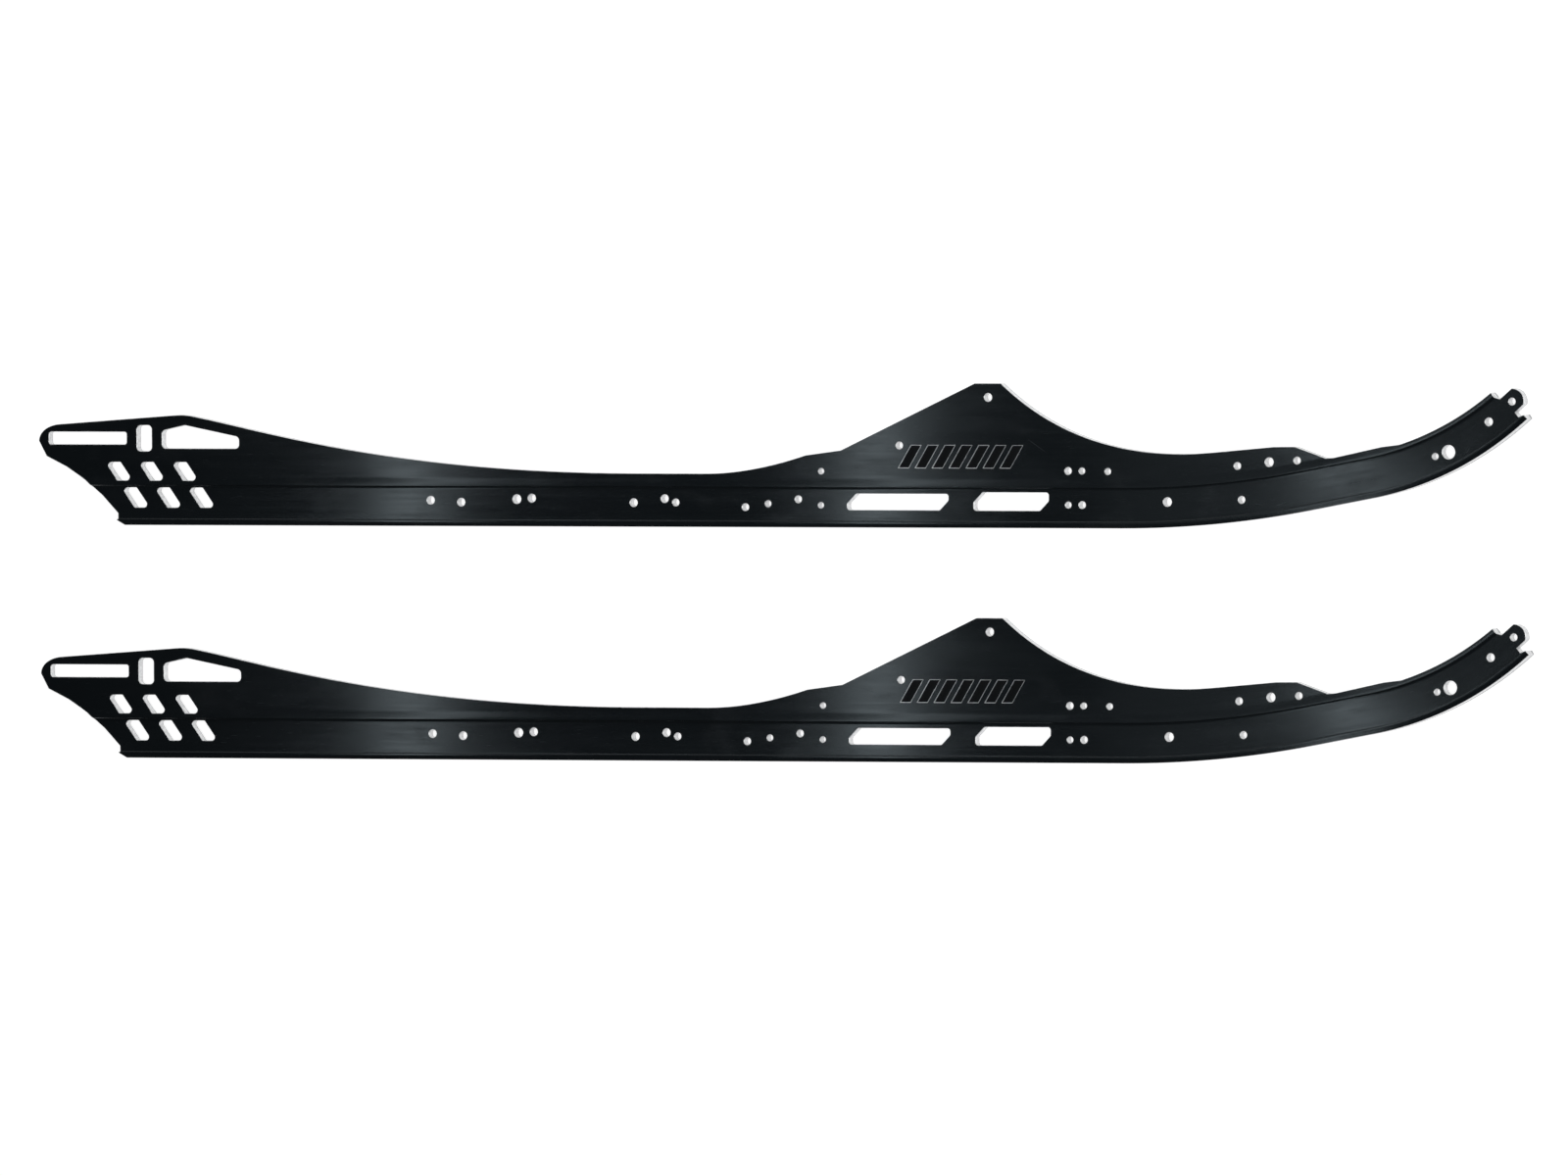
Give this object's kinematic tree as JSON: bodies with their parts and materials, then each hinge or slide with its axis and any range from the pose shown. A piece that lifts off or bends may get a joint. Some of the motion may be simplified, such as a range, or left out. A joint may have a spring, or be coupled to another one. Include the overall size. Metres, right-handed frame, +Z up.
{
  "type": "snowmobile slide rail pair",
  "caption": "Pair of long bare aluminium slide rails with upswept fronts, a raised bracket peak, slotted rear ends and drilled webs.",
  "frame": {"origin": "middle of the pair's bounding box, on the surface the rails lie on", "axes": "+X along the rails towards their upswept fronts, +Y from the sole to the top edge of the web, +Z up out of the web's outer face"},
  "size_m": [1.676, 0.3862, 0.016],
  "materials": {
    "black_aluminium": "black anodised extrusion, satin, with bare machined edges and hole walls"
  },
  "bodies": {
    "rail_1": {"slide_rail_1": "black_aluminium"},
    "rail_2": {"slide_rail_2": "black_aluminium"}
  },
  "joints": [
    {"name": "rail_2_lift", "type": "slide", "parent": "rail_1", "child": "rail_2", "axis": [0, 0, 1], "range_m": [0, 0.2]}
  ]
}
